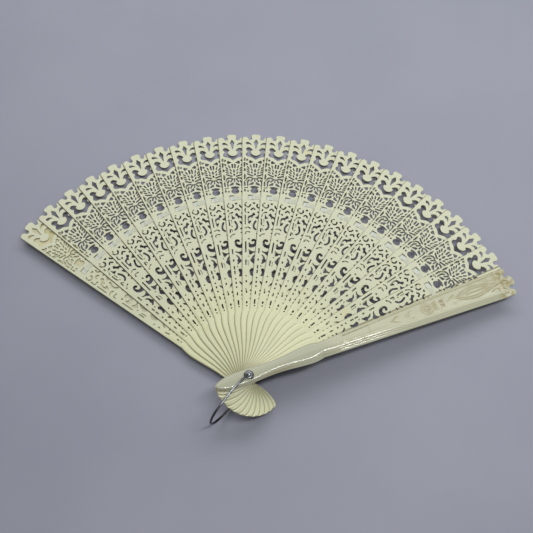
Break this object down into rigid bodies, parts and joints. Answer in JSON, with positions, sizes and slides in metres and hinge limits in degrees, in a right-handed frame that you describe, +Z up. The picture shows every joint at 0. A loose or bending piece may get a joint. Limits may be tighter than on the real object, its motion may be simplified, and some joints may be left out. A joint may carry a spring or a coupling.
{
  "type": "folding fan",
  "caption": "Brise folding fan of pierced cream sticks between two carved guards, held by a rivet with a wire bail and a ribbon near the tips.",
  "frame": {"origin": "centre of the rivet's lower face, where the fan stands on the table", "axes": "+X along the open fan's width towards the front guard, +Y from the rivet towards the middle stick's tip, +Z up from the table; the rivet leans from +Z by about five degrees because the open fan rests on the rivet and the middle tips"},
  "size_m": [0.3192, 0.2076, 0.0287],
  "materials": {
    "stick_ivory": "pale ivory cream with a soft gloss",
    "guard_ivory": "polished ivory cream with amber stain in the relief",
    "ribbon_satin": "white satin",
    "rivet_steel": "worn steel",
    "bail_steel": "dull steel wire"
  },
  "bodies": {
    "base": {"back_guard": "guard_ivory", "stick_22": "stick_ivory", "ribbon_22": "ribbon_satin", "ribbon_end": "ribbon_satin", "rivet": "rivet_steel"},
    "front_guard": {"front_guard": "guard_ivory"},
    "stick_01": {"stick_01": "stick_ivory", "ribbon_01": "ribbon_satin"},
    "stick_02": {"stick_02": "stick_ivory", "ribbon_02": "ribbon_satin"},
    "stick_03": {"stick_03": "stick_ivory", "ribbon_03": "ribbon_satin"},
    "stick_04": {"stick_04": "stick_ivory", "ribbon_04": "ribbon_satin"},
    "stick_05": {"stick_05": "stick_ivory", "ribbon_05": "ribbon_satin"},
    "stick_06": {"stick_06": "stick_ivory", "ribbon_06": "ribbon_satin"},
    "stick_07": {"stick_07": "stick_ivory", "ribbon_07": "ribbon_satin"},
    "stick_08": {"stick_08": "stick_ivory", "ribbon_08": "ribbon_satin"},
    "stick_09": {"stick_09": "stick_ivory", "ribbon_09": "ribbon_satin"},
    "stick_10": {"stick_10": "stick_ivory", "ribbon_10": "ribbon_satin"},
    "stick_11": {"stick_11": "stick_ivory", "ribbon_11": "ribbon_satin"},
    "stick_12": {"stick_12": "stick_ivory", "ribbon_12": "ribbon_satin"},
    "stick_13": {"stick_13": "stick_ivory", "ribbon_13": "ribbon_satin"},
    "stick_14": {"stick_14": "stick_ivory", "ribbon_14": "ribbon_satin"},
    "stick_15": {"stick_15": "stick_ivory", "ribbon_15": "ribbon_satin"},
    "stick_16": {"stick_16": "stick_ivory", "ribbon_16": "ribbon_satin"},
    "stick_17": {"stick_17": "stick_ivory", "ribbon_17": "ribbon_satin"},
    "stick_18": {"stick_18": "stick_ivory", "ribbon_18": "ribbon_satin"},
    "stick_19": {"stick_19": "stick_ivory", "ribbon_19": "ribbon_satin"},
    "stick_20": {"stick_20": "stick_ivory", "ribbon_20": "ribbon_satin"},
    "stick_21": {"stick_21": "stick_ivory", "ribbon_21": "ribbon_satin"},
    "bail": {"bail": "bail_steel"}
  },
  "joints": [
    {"name": "fan_fold", "type": "hinge", "parent": "base", "child": "front_guard", "pos_m": [0, 0, 0], "axis": [0.0478, 0.0769, 0.9959], "range_deg": [0, 121.7]},
    {"name": "stick_01_pivot", "type": "hinge", "parent": "base", "child": "stick_01", "pos_m": [0, 0, 0], "axis": [0.0478, 0.0769, 0.9959], "range_deg": [0, 115.5]},
    {"name": "stick_02_pivot", "type": "hinge", "parent": "base", "child": "stick_02", "pos_m": [0, 0, 0], "axis": [0.0478, 0.0769, 0.9959], "range_deg": [0, 110]},
    {"name": "stick_03_pivot", "type": "hinge", "parent": "base", "child": "stick_03", "pos_m": [0, 0, 0], "axis": [0.0478, 0.0769, 0.9959], "range_deg": [0, 104.5]},
    {"name": "stick_04_pivot", "type": "hinge", "parent": "base", "child": "stick_04", "pos_m": [0, 0, 0], "axis": [0.0478, 0.0769, 0.9959], "range_deg": [0, 99]},
    {"name": "stick_05_pivot", "type": "hinge", "parent": "base", "child": "stick_05", "pos_m": [0, 0, 0], "axis": [0.0478, 0.0769, 0.9959], "range_deg": [0, 93.5]},
    {"name": "stick_06_pivot", "type": "hinge", "parent": "base", "child": "stick_06", "pos_m": [0, 0, 0], "axis": [0.0478, 0.0769, 0.9959], "range_deg": [0, 88]},
    {"name": "stick_07_pivot", "type": "hinge", "parent": "base", "child": "stick_07", "pos_m": [0, 0, 0], "axis": [0.0478, 0.0769, 0.9959], "range_deg": [0, 82.5]},
    {"name": "stick_08_pivot", "type": "hinge", "parent": "base", "child": "stick_08", "pos_m": [0, 0, 0], "axis": [0.0478, 0.0769, 0.9959], "range_deg": [0, 77]},
    {"name": "stick_09_pivot", "type": "hinge", "parent": "base", "child": "stick_09", "pos_m": [0, 0, 0], "axis": [0.0478, 0.0769, 0.9959], "range_deg": [0, 71.5]},
    {"name": "stick_10_pivot", "type": "hinge", "parent": "base", "child": "stick_10", "pos_m": [0, 0, 0], "axis": [0.0478, 0.0769, 0.9959], "range_deg": [0, 66]},
    {"name": "stick_11_pivot", "type": "hinge", "parent": "base", "child": "stick_11", "pos_m": [0, 0, 0], "axis": [0.0478, 0.0769, 0.9959], "range_deg": [0, 60.5]},
    {"name": "stick_12_pivot", "type": "hinge", "parent": "base", "child": "stick_12", "pos_m": [0, 0, 0], "axis": [0.0478, 0.0769, 0.9959], "range_deg": [0, 55]},
    {"name": "stick_13_pivot", "type": "hinge", "parent": "base", "child": "stick_13", "pos_m": [0, 0, 0], "axis": [0.0478, 0.0769, 0.9959], "range_deg": [0, 49.5]},
    {"name": "stick_14_pivot", "type": "hinge", "parent": "base", "child": "stick_14", "pos_m": [0, 0, 0], "axis": [0.0478, 0.0769, 0.9959], "range_deg": [0, 44]},
    {"name": "stick_15_pivot", "type": "hinge", "parent": "base", "child": "stick_15", "pos_m": [0, 0, 0], "axis": [0.0478, 0.0769, 0.9959], "range_deg": [0, 38.5]},
    {"name": "stick_16_pivot", "type": "hinge", "parent": "base", "child": "stick_16", "pos_m": [0, 0, 0], "axis": [0.0478, 0.0769, 0.9959], "range_deg": [0, 33]},
    {"name": "stick_17_pivot", "type": "hinge", "parent": "base", "child": "stick_17", "pos_m": [0, 0, 0], "axis": [0.0478, 0.0769, 0.9959], "range_deg": [0, 27.5]},
    {"name": "stick_18_pivot", "type": "hinge", "parent": "base", "child": "stick_18", "pos_m": [0, 0, 0], "axis": [0.0478, 0.0769, 0.9959], "range_deg": [0, 22]},
    {"name": "stick_19_pivot", "type": "hinge", "parent": "base", "child": "stick_19", "pos_m": [0, 0, 0], "axis": [0.0478, 0.0769, 0.9959], "range_deg": [0, 16.5]},
    {"name": "stick_20_pivot", "type": "hinge", "parent": "base", "child": "stick_20", "pos_m": [0, 0, 0], "axis": [0.0478, 0.0769, 0.9959], "range_deg": [0, 11]},
    {"name": "stick_21_pivot", "type": "hinge", "parent": "base", "child": "stick_21", "pos_m": [0, 0, 0], "axis": [0.0478, 0.0769, 0.9959], "range_deg": [0, 5.5]},
    {"name": "bail_swing", "type": "hinge", "parent": "base", "child": "bail", "pos_m": [0, 0, 0], "axis": [0.0478, 0.0769, 0.9959], "range_deg": [-73, 139]}
  ],
  "couplings": [
    {"joint": "stick_01_pivot", "follows": "fan_fold", "ratio": 0.94906},
    {"joint": "stick_02_pivot", "follows": "fan_fold", "ratio": 0.90386},
    {"joint": "stick_03_pivot", "follows": "fan_fold", "ratio": 0.85867},
    {"joint": "stick_04_pivot", "follows": "fan_fold", "ratio": 0.81348},
    {"joint": "stick_05_pivot", "follows": "fan_fold", "ratio": 0.76828},
    {"joint": "stick_06_pivot", "follows": "fan_fold", "ratio": 0.72309},
    {"joint": "stick_07_pivot", "follows": "fan_fold", "ratio": 0.6779},
    {"joint": "stick_08_pivot", "follows": "fan_fold", "ratio": 0.6327},
    {"joint": "stick_09_pivot", "follows": "fan_fold", "ratio": 0.58751},
    {"joint": "stick_10_pivot", "follows": "fan_fold", "ratio": 0.54232},
    {"joint": "stick_11_pivot", "follows": "fan_fold", "ratio": 0.49712},
    {"joint": "stick_12_pivot", "follows": "fan_fold", "ratio": 0.45193},
    {"joint": "stick_13_pivot", "follows": "fan_fold", "ratio": 0.40674},
    {"joint": "stick_14_pivot", "follows": "fan_fold", "ratio": 0.36154},
    {"joint": "stick_15_pivot", "follows": "fan_fold", "ratio": 0.31635},
    {"joint": "stick_16_pivot", "follows": "fan_fold", "ratio": 0.27116},
    {"joint": "stick_17_pivot", "follows": "fan_fold", "ratio": 0.22597},
    {"joint": "stick_18_pivot", "follows": "fan_fold", "ratio": 0.18077},
    {"joint": "stick_19_pivot", "follows": "fan_fold", "ratio": 0.13558},
    {"joint": "stick_20_pivot", "follows": "fan_fold", "ratio": 0.090386},
    {"joint": "stick_21_pivot", "follows": "fan_fold", "ratio": 0.045193}
  ]
}
